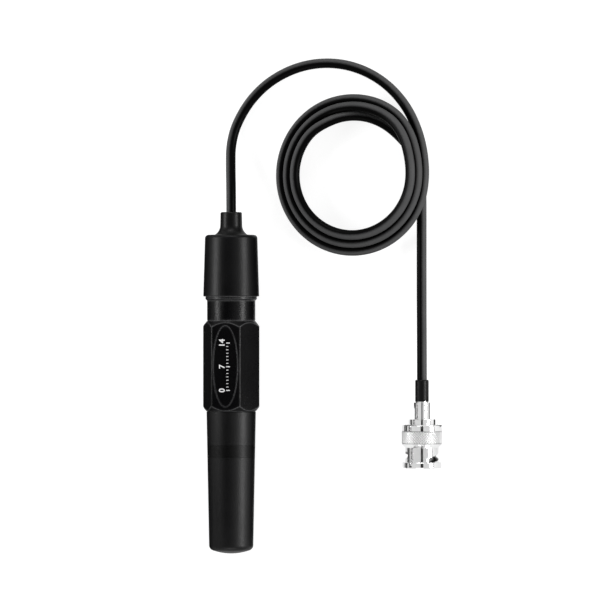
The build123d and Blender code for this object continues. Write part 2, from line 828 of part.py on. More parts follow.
# Plug core: the lead's insulated conductor, through the stem into the centre contact
with BuildPart() as plug_core:
    with BuildSketch(plug_plane):
        band(0, core_radius, core_front_y, lead_end_y)
        band(0, conductor_radius, core_front_y - conductor_length + bond_gap, core_front_y)
    revolve(axis=plug_axis)

plug_core.part.label = "plug_core"
export_step(plug_core.part, "parts/plug_core.step")

# Gasket: a silicone ring round the contact, against the body's nose
with BuildPart() as face_gasket:
    with BuildSketch(plug_plane):
        band(contact_radius + bond_gap, body_nose_radius, gasket_rear_y - gasket_thickness, gasket_rear_y)
    revolve(axis=plug_axis)

face_gasket.part.label = "face_gasket"
export_step(face_gasket.part, "parts/face_gasket.step")

# Spring: two coned washers, edge to edge, between the thrust washer and the front flange
spring_inner_radius = shank_radius + 2 * running_gap
spring_outer_radius = front_flange_radius - running_gap
spring_rear_y = washer_front_y - bond_gap
spring_front_y = flange_rear_y + bond_gap
spring_middle_y = (spring_rear_y + spring_front_y) / 2

with BuildPart() as spring_washers:
    with BuildSketch(plug_plane):
        for end_y, step in ((spring_rear_y, -spring_thickness), (spring_front_y, spring_thickness)):
            with BuildLine():
                Polyline(
                    (spring_inner_radius, end_y),
                    (spring_inner_radius, end_y + step),
                    (spring_outer_radius, spring_middle_y),
                    (spring_outer_radius, spring_middle_y - step),
                    close=True,
                )
            make_face()
    revolve(axis=plug_axis)

spring_washers.part.label = "spring_washers"
export_step(spring_washers.part, "parts/spring_washers.step")

# Thrust washer: passes the spring's push to the retaining ring
with BuildPart() as thrust_washer:
    with BuildSketch(plug_plane):
        band(
            rear_flange_radius + running_gap,
            nut_chamber_radius - running_gap,
            washer_front_y,
            washer_rear_y,
        )
    revolve(axis=plug_axis)

thrust_washer.part.label = "thrust_washer"
export_step(thrust_washer.part, "parts/thrust_washer.step")

# Retaining ring: a split ring snapped into the nut's groove, which keeps washer and spring in
with BuildPart() as retaining_ring:
    with BuildSketch(plug_plane):
        band(
            clip_inner_radius,
            nut_chamber_radius + clip_groove_depth - bond_gap,
            clip_rear_y - clip_thickness + bond_gap,
            clip_rear_y - bond_gap,
        )
    revolve(axis=plug_axis)
    with BuildSketch(Plane(origin=(plug_x, clip_rear_y, plug_height), x_dir=(1, 0, 0), z_dir=(0, -1, 0))):
        with Locations((0, nut_chamber_radius)):
            Rectangle(clip_gap, 2 * (nut_chamber_radius - clip_inner_radius) + 1)
    extrude(amount=clip_thickness, mode=Mode.SUBTRACT)

retaining_ring.part.label = "retaining_ring"
export_step(retaining_ring.part, "parts/retaining_ring.step")

# Coupling nut: turned, with a knurled band, a thin barrel and a front rim. Two slots let the studs of
# the socket in through the rim and lead them round and back to a round detent
slot_entry_y = nut_front_y + slot_first_from_front


def slot_plane(angle, station, radius):
    """A plane that touches the nut at this angle and station, its x along the axis and its z outwards."""
    outwards = (sin(radians(angle)), 0, cos(radians(angle)))
    origin = (plug_x + radius * outwards[0], station, plug_height + radius * outwards[2])
    return Plane(origin=origin, x_dir=(0, 1, 0), z_dir=outwards)


with BuildPart() as coupling_nut:
    with BuildSketch(plug_plane) as nut_profile:
        with BuildLine():
            Polyline(
                (nut_chamber_radius, nut_rear_y),
                (nut_ring_radius, nut_rear_y),
                (nut_ring_radius, knurl_rear_y),
                (nut_knurl_radius, knurl_rear_y),
                (nut_knurl_radius, knurl_front_y),
                (nut_barrel_radius, barrel_rear_y),
                (nut_barrel_radius, rim_rear_y),
                (nut_rim_radius, rim_rear_y),
                (nut_rim_radius, nut_front_y),
                (nut_bore_radius, nut_front_y),
                (nut_bore_radius, nut_shoulder_y),
                (nut_chamber_radius, nut_shoulder_y),
                close=True,
            )
        make_face()
        fillet(corner(nut_profile, nut_ring_radius, nut_rear_y), 0.3)
        fillet(corner(nut_profile, nut_rim_radius, rim_rear_y), 0.4)
        fillet(corner(nut_profile, nut_rim_radius, nut_front_y), 0.4)
        cut_band(
            nut_chamber_radius,
            nut_chamber_radius + clip_groove_depth,
            clip_rear_y - clip_thickness,
            clip_rear_y,
        )
    revolve(axis=plug_axis)
    for slot in range(slot_count):
        first_angle = slot_entry_angle + slot * 360 / slot_count
        entry_length = slot_first_from_front
        with BuildSketch(slot_plane(first_angle, nut_front_y + entry_length / 2, slot_entry_radius)):
            Rectangle(entry_length, slot_width)
        extrude(amount=-(slot_entry_radius - nut_bore_radius + 1), mode=Mode.SUBTRACT)
        for step in range(slot_steps + 1):
            share = step / slot_steps
            cut_angle = first_angle + share * slot_sweep
            cut_y = slot_entry_y + share * slot_rise
            with BuildSketch(slot_plane(cut_angle, cut_y, nut_bore_radius - 1)):
                Circle(slot_width / 2)
            extrude(amount=nut_barrel_radius - nut_bore_radius + 1 + slot_overcut, mode=Mode.SUBTRACT)

coupling_nut.part.label = "coupling_nut"
export_step(coupling_nut.part, "parts/coupling_nut.step")

# Coil: the outer shape of its turns, from the outer one on the floor to the inner one on top, leaning
# on the lead that leaves under its side
lean = (coil_side_lift / 2) / outer_turn_radius
coil_base_z = coil_side_lift / 2 + lead_radius * (1 - sqrt(1 - lean ** 2))
coil_plane = Plane(
    origin=(coil_x, coil_y, coil_base_z),
    x_dir=(sqrt(1 - lean ** 2), 0, lean),
    z_dir=(0, -1, 0),
)

with BuildPart() as lead_coil:
    with BuildSketch(coil_plane):
        with Locations((outer_turn_radius, lead_radius), (inner_turn_radius, lead_radius + inner_turn_rise)):
            Circle(lead_radius)
        make_hull()
    revolve(axis=Axis(coil_plane.origin, coil_plane.y_dir))

lead_coil.part.label = "lead_coil"
export_step(lead_coil.part, "parts/lead_coil.step")

# Lead: two free stretches, one over the arc to the coil and one from under the coil to the plug
arc_route = [(0, lead_start_y, axis_height)] + route_to_coil
run_route = route_from_coil + [(plug_x, lead_end_y, plug_height)]
arc_radii = corner_radii(arc_route)
run_radii = corner_radii(run_route)
print("corner radii to the coil", [round(r, 1) for r in arc_radii])
print("corner radii from the coil", [round(r, 1) for r in run_radii])

with BuildPart() as lead_arc:
    with BuildLine() as arc_path:
        FilletPolyline(*arc_route, radius=arc_radii)
    with BuildSketch(Plane(origin=arc_path.line @ 0, z_dir=arc_path.line % 0)):
        Circle(lead_radius)
    sweep()

lead_arc.part.label = "lead_arc"
export_step(lead_arc.part, "parts/lead_arc.step")

with BuildPart() as lead_run:
    with BuildLine() as run_path:
        FilletPolyline(*run_route, radius=run_radii)
    with BuildSketch(Plane(origin=run_path.line @ 0, z_dir=run_path.line % 0)):
        Circle(lead_radius)
    sweep()

lead_run.part.label = "lead_run"
export_step(lead_run.part, "parts/lead_run.step")

for name, piece, path in (("to", lead_arc, arc_path), ("from", lead_run, run_path)):
    path_length = sum(edge.length for edge in path.line.edges())
    print("lead", name, "the coil: length", round(path_length, 1), "volume", round(piece.part.volume, 1))
    print("section times length", round(pi * lead_radius ** 2 * path_length, 1))
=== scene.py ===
from math import cos, pi, radians, sin

import bpy
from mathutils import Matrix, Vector


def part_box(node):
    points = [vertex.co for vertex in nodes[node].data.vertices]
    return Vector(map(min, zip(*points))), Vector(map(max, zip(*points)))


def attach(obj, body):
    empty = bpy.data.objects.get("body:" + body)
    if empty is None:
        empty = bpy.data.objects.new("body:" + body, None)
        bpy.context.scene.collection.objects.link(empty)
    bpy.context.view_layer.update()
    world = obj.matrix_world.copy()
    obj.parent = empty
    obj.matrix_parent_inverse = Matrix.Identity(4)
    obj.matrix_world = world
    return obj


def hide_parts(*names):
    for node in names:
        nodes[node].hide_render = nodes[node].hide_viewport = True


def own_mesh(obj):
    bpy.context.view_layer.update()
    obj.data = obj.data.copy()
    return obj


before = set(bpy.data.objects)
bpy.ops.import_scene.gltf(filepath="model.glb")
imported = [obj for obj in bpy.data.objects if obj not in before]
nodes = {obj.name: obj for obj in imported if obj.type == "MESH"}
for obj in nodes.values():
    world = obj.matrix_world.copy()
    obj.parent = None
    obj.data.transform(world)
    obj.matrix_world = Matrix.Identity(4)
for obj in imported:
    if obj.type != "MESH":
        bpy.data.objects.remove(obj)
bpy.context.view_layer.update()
bpy.ops.object.select_all(action="DESELECT")


# Camera: above the pieces on the floor and a little to their right, far off
# with a long lens, as in the photograph, whose frame is square.
aim = Vector((0.0269, 0.0274, 0.008))
camera_tilt = radians(12.5)
camera_distance = 1.6
picture_width = 0.2179        # of the floor, across the whole frame
towards_camera = Vector((sin(camera_tilt), 0, cos(camera_tilt)))

bpy.ops.object.camera_add(
    location=aim + camera_distance * towards_camera, rotation=(0, camera_tilt, 0),
)
camera = bpy.context.object
camera.data.lens = camera.data.sensor_width * camera_distance / picture_width
camera.data.clip_start = 0.05
bpy.context.scene.camera = camera
bpy.context.scene.view_settings.view_transform = "Standard"


# Floor and tent: a matt white table in a white tent that is a little darker just
# above the table. The camera sees both as white, and gloss shows them less bright.
class Wire:
    """A socket in a material. Sums and products of wires add Math nodes."""

    def __init__(self, tree, socket=None):
        self.tree, self.socket = tree, socket

    def node(self, kind, settings=None, sockets=None, output=0):
        """Adds a node: its settings first, then the values and wires of its sockets."""
        made = self.tree.nodes.new(kind)
        for name, value in (settings or {}).items():
            if name == "stops":
                for stop, (place, color) in zip(made.color_ramp.elements, value):
                    stop.position, stop.color = place, (*color, 1)
            else:
                setattr(made, name, value)
        for name, value in (sockets or {}).items():
            if isinstance(value, Wire):
                self.tree.links.new(value.socket, made.inputs[name])
            else:
                made.inputs[name].default_value = value
        return Wire(self.tree, made.outputs[output] if made.outputs else None)

    def math(self, operation, *values):
        return self.node("ShaderNodeMath", {"operation": operation}, dict(enumerate(values)))

    def __add__(self, other):
        return self.math("ADD", self, other)

    def __sub__(self, other):
        return self.math("SUBTRACT", self, other)

    def __rsub__(self, other):
        return self.math("SUBTRACT", other, self)

    def __mul__(self, other):
        return self.math("MULTIPLY", self, other)

    __radd__ = __add__
    __rmul__ = __mul__


def finish_named(name):
    """An empty material, and a wire to build it on."""
    material = bpy.data.materials.new(name)
    material.use_nodes = True
    material.node_tree.nodes.clear()
    return material, Wire(material.node_tree)


def rays(tree, *kinds):
    """1 for the named kinds of ray, and 0 for all others."""
    outputs = tree.node("ShaderNodeLightPath").socket.node.outputs
    seen = Wire(tree.tree, outputs[kinds[0]])
    for kind in kinds[1:]:
        seen = tree.math("MAXIMUM", seen, Wire(tree.tree, outputs[kind]))
    return seen


floor_color = (0.30, 0.30, 0.30, 1)
floor_seen = 0.86             # added to the lit floor where the camera sees it
floor_in_gloss = 0.60         # and where gloss and glass show it
floor_material, floor_tree = finish_named("white_floor")
floor_shade = floor_tree.node("ShaderNodeBsdfDiffuse", None, {"Color": floor_color})
floor_glow = floor_tree.node("ShaderNodeEmission", None, {
    "Strength": rays(floor_tree, "Is Camera Ray") * floor_seen
    + rays(floor_tree, "Is Glossy Ray", "Is Transmission Ray") * floor_in_gloss,
})
floor_tree.node("ShaderNodeOutputMaterial", None, {
    "Surface": floor_tree.node("ShaderNodeAddShader", None, {0: floor_shade, 1: floor_glow}),
})

floor_width = 8
bpy.ops.mesh.primitive_plane_add(size=floor_width)
floor = bpy.context.object
floor.name = "floor"
floor.data.materials.append(floor_material)

tent_edge_low, tent_edge_high = 0.08, 0.22      # sines of the angles where it turns brighter
tent_below, tent_above = 0.50, 0.68             # its brightness in gloss, under and over them
tent_on_matt = 0.20                             # the light that it gives matt surfaces

world = bpy.data.worlds.new("tent")
bpy.context.scene.world = world
world.use_nodes = True
world.node_tree.nodes.clear()
sky_tree = Wire(world.node_tree)
sky_direction = sky_tree.node("ShaderNodeTexCoord", None, None, "Generated")
sky_height = sky_tree.node("ShaderNodeSeparateXYZ", None, {"Vector": sky_direction}, "Z")
tent = sky_tree.node("ShaderNodeMapRange", {"interpolation_type": "SMOOTHSTEP"}, {
    "Value": sky_height, "From Min": tent_edge_low, "From Max": tent_edge_high,
    "To Min": tent_below, "To Max": tent_above,
})
sky_strength = sky_tree.math(
    "MAXIMUM", rays(sky_tree, "Is Camera Ray"),
    tent * rays(sky_tree, "Is Glossy Ray", "Is Transmission Ray")
    + tent_on_matt * rays(sky_tree, "Is Diffuse Ray"),
)
sky = sky_tree.node("ShaderNodeBackground", None, {"Color": (1, 1, 1, 1), "Strength": sky_strength})
sky_tree.node("ShaderNodeOutputWorld", None, {"Surface": sky})


# Lamps and cards: a long soft lamp along each side and a dimmer one at each end.
# A dark shade behind the camera draws the line down the middle of bright metal,
# and black cards and a flag keep the tent's white and lamp light off black parts.
def soft_lamp(name, towards, lean, width, length, power, moved_up=0.0):
    """A long lamp that leans from straight up towards +X or +Y, its length across its lean."""
    distance = 0.7
    out = Vector((sin(lean), 0, cos(lean))) if towards == "X" else Vector((0, sin(lean), cos(lean)))
    turn = (0, lean, 0) if towards == "X" else (-lean, 0, 0)
    place = aim + distance * out + Vector((0, moved_up, 0))
    bpy.ops.object.light_add(type="AREA", location=place, rotation=turn)
    lamp = bpy.context.object
    lamp.name = name
    lamp.data.shape = "RECTANGLE"
    lamp.data.size = width if towards == "X" else length
    lamp.data.size_y = length if towards == "X" else width
    lamp.data.energy = power


soft_lamp("right_lamp", "X", radians(70), width=0.17, length=0.42, power=4.4)
soft_lamp("left_lamp", "X", radians(-58), width=0.13, length=0.42, power=3.5, moved_up=0.12)
soft_lamp("head_lamp", "Y", radians(62), width=0.12, length=0.40, power=1.5)
soft_lamp("foot_lamp", "Y", radians(-62), width=0.12, length=0.40, power=1.1)

black_card, card_tree = finish_named("black_card")
card_surface = card_tree.node(
    "ShaderNodeBsdfPrincipled", None, {"Base Color": (0.01, 0.01, 0.01, 1), "Roughness": 1.0},
)
card_tree.node("ShaderNodeOutputMaterial", None, {"Surface": card_surface})


def dark_card(name, middle, width, length, lean=0.0, shades=False):
    """A card that only gloss and glass show. One that shades keeps lamps off what is behind it."""
    bpy.ops.mesh.primitive_plane_add(size=1, location=middle, rotation=(0, lean, 0))
    card = bpy.context.object
    card.name = name
    card.scale = (width, length, 1)
    card.data.materials.append(black_card)
    card.visible_camera = False
    card.visible_diffuse = False
    card.visible_shadow = shades


on_table = 0.0004             # the height of a card that lies on the table
shade_behind = 0.1            # from the camera back to its shade
shade_middle = aim + (camera_distance + shade_behind) * towards_camera
dark_card("lens_shade", shade_middle, width=0.46, length=1.4, lean=camera_tilt)
dark_card("left_card", (-0.112, 0, on_table), width=0.20, length=0.16)
dark_card("grip_card", (0.037, 0.023, on_table), width=0.050, length=0.064)
dark_card("cap_card", (0.024, -0.035, on_table), width=0.026, length=0.052)
dark_card("ferrule_card", (0.0790, -0.0095, on_table), width=0.008, length=0.011)
dark_card("left_flag", (-0.13, -0.047, 0.0955), width=0.038, length=0.106, lean=pi / 2, shades=True)
dark_card("over_card", (-0.011, -0.003, 0.060), width=0.030, length=0.118, lean=-camera_tilt)


# Lead: a coaxial cable in a soft black jacket. It leaves the strain relief,
# makes a wide arc and three turns, each smaller and higher than the last, and
# runs out from under them to the plug.
lead_diameter = 0.0035
route_to_coil = [
    (0.0, 0.05525, 0.00997),
    (0.0, 0.0666, 0.00997),
    (-0.0011, 0.0774, 0.0062),
    (-0.0016, 0.0849, 0.0039),
    (0.0, 0.0924, 0.0026),
    (0.0051, 0.1013, 0.0019),
    (0.0128, 0.1084, 0.00175),
    (0.0229, 0.1131, 0.00175),
    (0.0336, 0.1145, 0.00175),
    (0.0443, 0.1126, 0.00175),
    (0.0543, 0.1072, 0.00175),
    (0.0622, 0.0987, 0.0019),
    (0.0673, 0.0880, 0.0034),
    (0.0694, 0.0775, 0.0052),
    (0.0690, 0.0687, 0.0053),
]
route_from_coil = [
    (0.0318, 0.0917, 0.00665),
    (0.0392, 0.0950, 0.0050),
    (0.0468, 0.0952, 0.0030),
    (0.0538, 0.0926, 0.00185),
    (0.0594, 0.0881, 0.00175),
    (0.0639, 0.0828, 0.00175),
    (0.0672, 0.0758, 0.00175),
    (0.0676, 0.0666, 0.00175),
    (0.0676, 0.0573, 0.00175),
    (0.0676, 0.0300, 0.00175),
    (0.0688, 0.0080, 0.00725),
    (0.0688, -0.00945, 0.00725),
]

# The turns run clockwise, seen from above. Each keeps its own size until just
# short of a full turn, and there steps up and inwards.
coil_points = 62
points_a_turn = 24
first_angle = -26.5           # in degrees, as are the next three
step_starts = (-303, -663)
step_angle = 52.0
rise_ahead = 12               # from where a turn steps up to where it steps inwards
coil_x, coil_y = 0.04288, 0.0741                # the middle of the first turn
middle_step = 0.00045                           # from it to the next one's, towards +X
half_width, half_length = 0.02657, 0.02707      # of the first turn
width_step, length_step = 0.00252, 0.0028       # by which the next one's are less
first_height, height_step = 0.00355, 0.00235
right_lift, lift_step = 0.0018, 0.00048         # of a turn's right side over its middle


def eased(share):
    share = min(max(share, 0.0), 1.0)
    return share * share * (3 - 2 * share)


coil = []
spread = 1 / cos(pi / points_a_turn)
for k in range(coil_points):
    angle = first_angle - k * 360 / points_a_turn
    turn = sum(eased((start - angle) / step_angle) for start in step_starts)
    rise = sum(eased((start + rise_ahead - angle) / step_angle) for start in step_starts)
    across, along = cos(radians(angle)), sin(radians(angle))
    coil.append((
        coil_x + middle_step * turn + (half_width - width_step * turn) * spread * across,
        coil_y + (half_length - length_step * turn) * spread * along,
        first_height + height_step * rise + (right_lift + lift_step * rise) * across,
    ))

lead_curve = bpy.data.curves.new("lead", "CURVE")
lead_curve.dimensions = "3D"
lead_curve.bevel_depth = lead_diameter / 2
lead_curve.bevel_resolution = 7
lead_curve.use_fill_caps = True
lead_line = lead_curve.splines.new("NURBS")
lead_points = route_to_coil + coil + route_from_coil
lead_line.points.add(len(lead_points) - 1)
for point, place in zip(lead_line.points, lead_points):
    point.co = (*place, 1)
lead_line.order_u = 3
lead_line.use_endpoint_u = True
lead_line.resolution_u = 10
lead = bpy.data.objects.new("lead", lead_curve)
bpy.context.scene.collection.objects.link(lead)


def surfaced(tree, color, roughness, height, depth, **constants):
    """Closes a material: a Principled surface with a bump of this depth, in metres."""
    bump = tree.node("ShaderNodeBump", None, {"Strength": 1.0, "Distance": depth, "Height": height})
    sockets = {"Base Color": color, "Roughness": roughness, "Normal": bump}
    sockets.update({name.replace("_", " "): value for name, value in constants.items()})
    shader = tree.node("ShaderNodeBsdfPrincipled", None, sockets)
    tree.node("ShaderNodeOutputMaterial", None, {"Surface": shader})


def place_on_piece(tree, scale=(1, 1, 1)):
    """The piece's own coordinates in metres, stretched."""
    coordinates = tree.node("ShaderNodeTexCoord", None, None, "Object")
    return tree.node("ShaderNodeMapping", None, {"Vector": coordinates, "Scale": scale})


def noise(tree, place, size, detail=2.0, roughness=0.5):
    """A cloudy pattern whose blots are about this size, in metres."""
    return tree.node("ShaderNodeTexNoise", None, {
        "Vector": place, "Scale": 1 / size, "Detail": detail, "Roughness": roughness,
    })


def color_mix(tree, share, first, second):
    """One colour passing into another by a share from 0 to 1."""
    return tree.node("ShaderNodeValToRGB", {"stops": ((0, first), (1, second))}, {"Fac": share})


def jacket_vinyl(outer_side_at, painted_sheen_from, jacket_tone, worn):
    """Soft black vinyl with a painted sheen: paler and duller along the side that is outermost in its
    turns.
    """
    material, tree = finish_named("lead_jacket_vinyl")
    place = place_on_piece(tree)
    map_place = tree.node("ShaderNodeTexCoord", None, None, "UV")
    round_tube = tree.node("ShaderNodeSeparateXYZ", None, {"Vector": map_place}, "Y")
    outer_side = tree.math("COSINE", (round_tube - outer_side_at) * (2 * pi)) * 0.5 + 0.5
    speck = noise(tree, place, 0.00035, 3.0)
    cloud = noise(tree, place, 0.006, 3.0)
    # rubbed: the share of the painted sheen, highest on the tube's outer side
    rubbed = tree.node("ShaderNodeMapRange", {"interpolation_type": "SMOOTHSTEP"}, {
        "Value": outer_side + (speck - 0.5) * 0.1, "From Min": painted_sheen_from, "From Max": 1.0,
    })
    color = color_mix(tree, rubbed * (0.75 + cloud * 0.3), jacket_tone, worn)
    roughness = 0.36 + cloud * 0.06 + rubbed * 0.08
    surfaced(tree, color, roughness, speck, 0.00001, Specular_IOR_Level=0.03)
    return material


# worn: the light grey of the painted sheen along the outer side of the turns
lead_curve.materials.append(jacket_vinyl(
    outer_side_at=0.05, painted_sheen_from=0.75, jacket_tone=(0.0012, 0.0012, 0.0012), worn=(0.086, 0.086, 0.087),
))
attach(lead, "electrode")
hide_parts("lead_arc", "lead_coil", "lead_run")


# Storage cap: a tapered push-on cap moulded in black plastic, with a soft
# rubber band in its groove and a soaked sponge at the bottom of its chamber.
def dress(material, *names):
    """Gives nodes their finish."""
    for name in names:
        for slot in nodes[name].material_slots:
            slot.material = material


def rubbed_edges(tree, reach):
    """1 along edges that stand out or in, within this reach of them, and 0 on plain surface: the mask
    of a painted edge highlight.
    """
    plain_likeness = 0.995    # cosine of the turn below which the surface counts as plain
    gain = 14.0
    softened = tree.node("ShaderNodeBevel", {"samples": 8}, {"Radius": reach})
    plain = tree.node("ShaderNodeNewGeometry", None, None, "Normal")
    likeness = tree.node(
        "ShaderNodeVectorMath", {"operation": "DOT_PRODUCT"}, {0: softened, 1: plain}, "Value",
    )
    return tree.node("ShaderNodeClamp", None, {"Value": (plain_likeness - likeness) * gain})


def black_plastic(name, tone, roughness, grain, specular, edge=None):
    """Moulded black plastic with a fine grain and faint rubbed patches.

    Its edges get a painted highlight, a light grey line, within the reach that edge gives, in metres."""
    material, tree = finish_named(name)
    place = place_on_piece(tree)
    cloud = noise(tree, place, 0.009, 3.0)
    speck = noise(tree, place, grain, 2.0)
    rubbed = noise(tree, place_on_piece(tree, (1, 0.12, 1)), 0.0007, 4.0)
    worn = tree.math("MULTIPLY", (rubbed - 0.60) * 5.0, cloud)
    worn = tree.node("ShaderNodeClamp", None, {"Value": worn})
    dark = tuple(0.75 * value for value in tone)
    light = tuple(1.8 * value + 0.001 for value in tone)
    color = color_mix(tree, cloud * 0.35 + speck * 0.25 + worn * 0.4, dark, light)
    # painted highlight: a light grey line along every edge that stands out or in
    if edge:
        edge_highlight_tone = (0.11, 0.11, 0.112, 1)
        edge_highlight_share = rubbed_edges(tree, edge) * (0.6 + speck * 0.6)
        color = tree.node(
            "ShaderNodeMix", {"data_type": "RGBA"},
            {"Factor": edge_highlight_share, "A": color, "B": edge_highlight_tone}, "Result",
        )
    varied = roughness + cloud * 0.10 + speck * 0.14 + worn * 0.10 - 0.12
    surfaced(tree, color, varied, speck, grain * 0.12, Specular_IOR_Level=specular)
    return material


cap_plastic = black_plastic(
    "storage_cap_plastic", (0.0012, 0.0012, 0.0014), roughness=0.43, grain=0.00045, specular=0.225,
)
band_rubber = black_plastic(
    "band_rubber", (0.0004, 0.0004, 0.0004), roughness=0.42, grain=0.0003, specular=0.17,
)
dress(cap_plastic, "storage_cap")
dress(band_rubber, "storage_cap_band")


def sponge_foam():
    """Open foam: round cells in two sizes, with painted shade darkening their hollows."""
    material, tree = finish_named("sponge_foam")
    place = place_on_piece(tree)
    coarse, fine = 1600.0, 4200.0        # cells in a metre
    cells = tree.node("ShaderNodeTexVoronoi", None, {"Vector": place, "Scale": coarse}, "Distance")
    pores = tree.node("ShaderNodeTexVoronoi", None, {"Vector": place, "Scale": fine}, "Distance")
    height = cells * 0.7 + pores * 0.3
    color = color_mix(tree, height, (0.30, 0.24, 0.10), (0.86, 0.78, 0.48))
    surfaced(tree, color, 0.85 + pores * 0.1, height, 0.0003)
    return material


def apply_modifier(kind, name, **settings):
    """Adds a modifier to the piece being worked on, sets it and applies it."""
    modifier = bpy.context.object.modifiers.new(name, kind)
    for setting, value in settings.items():
        setattr(modifier, setting, value)
    bpy.ops.object.modifier_apply(modifier=name)


def settle(name, body, material):
    """Names the piece being worked on, applies its place, and sets what it rides on and its finish."""
    piece = bpy.context.object
    piece.name = name
    bpy.ops.object.transform_apply(location=True, rotation=True, scale=True)
    piece.data.materials.clear()
    piece.data.materials.append(material)
    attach(piece, body)
    return piece


sponge_low, sponge_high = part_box("storage_sponge")
sponge_skin = 0.00012         # how far the torn cells go in and out
foam_cells = bpy.data.textures.new("foam_cells", "VORONOI")
foam_cells.noise_scale = 0.0006

bpy.ops.object.select_all(action="DESELECT")
bpy.ops.mesh.primitive_cylinder_add(
    vertices=96, radius=(sponge_high.x - sponge_low.x) / 2 - sponge_skin,
    depth=sponge_high.y - sponge_low.y - 2 * sponge_skin,
    location=(sponge_low + sponge_high) / 2, rotation=(pi / 2, 0, 0),
)
bpy.ops.object.transform_apply(location=True, rotation=True, scale=True)
apply_modifier("BEVEL", "rounding", width=0.0004, segments=3)
apply_modifier("REMESH", "foam_size", mode="VOXEL", voxel_size=0.00016)
apply_modifier(
    "DISPLACE", "torn_skin", texture=foam_cells, texture_coords="LOCAL",
    strength=2 * sponge_skin, mid_level=0.5,
)
bpy.ops.object.shade_smooth()
sponge = settle("wet_sponge", "storage_cap", sponge_foam())
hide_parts("storage_sponge")


# Grip: a six-sided black moulding with a neck and collar above it and, inside
# the storage cap, a nose with a sealing ring.
grip_plastic = black_plastic(
    "grip_plastic", (0.0013, 0.0013, 0.0015), roughness=0.29, grain=0.00045, specular=0.13,
    edge=0.0008,
)
seal_rubber = black_plastic(
    "seal_rubber", (0.005, 0.005, 0.005), roughness=0.5, grain=0.00012, specular=0.25,
)
dress(grip_plastic, "grip_body")
dress(seal_rubber, "nose_ring", "spigot_ring", "stem_stopper", "lower_seal")


# Oval on the grip's upper face: a thin moulded bead round the sunk panel, and
# in it a plain printed scale from 0 to 14, a tick for each unit.
axis_height = 0.00997
grip_flats = 0.0181
panel_depth = 0.00015
panel_middle = Vector((0, 0.00585, axis_height + grip_flats / 2 - panel_depth))
oval_half_width, oval_half_length = 0.0045, 0.0144
bead_width = 0.00024
bead_stands_out = 0.00004

bpy.ops.object.select_all(action="DESELECT")
bpy.ops.mesh.primitive_circle_add(
    vertices=160, radius=oval_half_width, fill_type="NGON", location=panel_middle,
)
bpy.ops.object.mode_set(mode="EDIT")
bpy.ops.transform.resize(value=(1, oval_half_length / oval_half_width, 1))
bpy.ops.mesh.inset(thickness=bead_width)
bpy.ops.mesh.delete(type="FACE")
bpy.ops.mesh.select_all(action="SELECT")
bpy.ops.mesh.extrude_region_move(
    TRANSFORM_OT_translate={"value": (0, 0, panel_depth + bead_stands_out)},
)
bpy.ops.mesh.select_all(action="SELECT")
bpy.ops.mesh.normals_make_consistent()
bpy.ops.object.mode_set(mode="OBJECT")
apply_modifier("BEVEL", "soften", width=0.00008, segments=2)
bpy.ops.object.shade_smooth_by_angle(angle=radians(50))
bead_plastic = black_plastic(
    "bead_plastic", (0.008, 0.008, 0.009), roughness=0.28, grain=0.00025, specular=0.25,
)
settle("panel_bead", "electrode", bead_plastic)


def white_print():
    """Screen-printed ink: white, a little thin in places."""
    material, tree = finish_named("white_ink")
    thin = noise(tree, place_on_piece(tree), 0.0004, 3.0)
    color = color_mix(tree, thin, (0.66, 0.66, 0.66), (0.86, 0.86, 0.86))
    surfaced(tree, color, 0.45 + thin * 0.1, thin, 0.000005)
    return material


lowest_value, middle_value, highest_value = 0, 7, 14
unit = 0.0012                 # from one tick to the next
beside_line = 0.0003          # from the oval's long axis to the ticks, and to the numerals
long_tick = (0.0013, 0.00034)
short_tick = (0.0008, 0.00022)
numeral_size = 0.0029
numeral_boldness = 0.00007
ink_height = 0.00003

print_pieces = []
for value in range(lowest_value, highest_value + 1):
    along = (value - middle_value) * unit
    numbered = value in (lowest_value, middle_value, highest_value)
    length, width = long_tick if numbered else short_tick
    tick_middle = panel_middle + Vector((beside_line + length / 2, along, ink_height / 2))
    bpy.ops.object.select_all(action="DESELECT")
    bpy.ops.mesh.primitive_cube_add(size=1, location=tick_middle)
    bpy.context.object.scale = (length, width, ink_height)
    bpy.ops.object.transform_apply(location=True, rotation=True, scale=True)
    print_pieces.append(bpy.context.object)
    if numbered:
        bpy.ops.object.text_add(
            location=panel_middle + Vector((-beside_line, along, 0)), rotation=(0, 0, pi / 2),
        )
        numeral = bpy.context.object
        numeral.data.body = str(value)
        numeral.data.size = numeral_size
        numeral.data.offset = numeral_boldness
        numeral.data.extrude = ink_height
        numeral.data.align_x = "CENTER"
        bpy.ops.object.convert(target="MESH")
        bpy.ops.object.transform_apply(location=True, rotation=True, scale=True)
        print_pieces.append(bpy.context.object)
bpy.ops.object.select_all(action="DESELECT")
for piece in print_pieces:
    piece.select_set(True)
bpy.context.view_layer.objects.active = print_pieces[0]
bpy.ops.object.join()
settle("scale_print", "electrode", white_print())


# Top cap and strain relief: a tapered black shell pushed on the grip, and the
# soft boot that holds the lead.
top_cap_plastic = black_plastic(
    "top_cap_plastic", (0.0012, 0.0012, 0.0014), roughness=0.38, grain=0.00045, specular=0.145,
    edge=0.0005,
)
relief_rubber = black_plastic(
    "relief_rubber", (0.0016, 0.0016, 0.0016), roughness=0.36, grain=0.0003, specular=0.13,
)
jacket_end_vinyl = black_plastic(
    "jacket_end_vinyl", (0.003, 0.003, 0.0033), roughness=0.34, grain=0.00022, specular=0.1,
)
dress(top_cap_plastic, "top_cap")
dress(relief_rubber, "strain_relief", "plug_sleeve")
dress(jacket_end_vinyl, "jacket_end")


# Shaft and sensor: a smooth dark tube cut into four guards at its tip, round a
# thin glass bulb with a silver wire in it.
shaft_plastic = black_plastic(
    "shaft_plastic", (0.016, 0.016, 0.018), roughness=0.22, grain=0.0004, specular=0.5,
)
dress(shaft_plastic, "shaft")


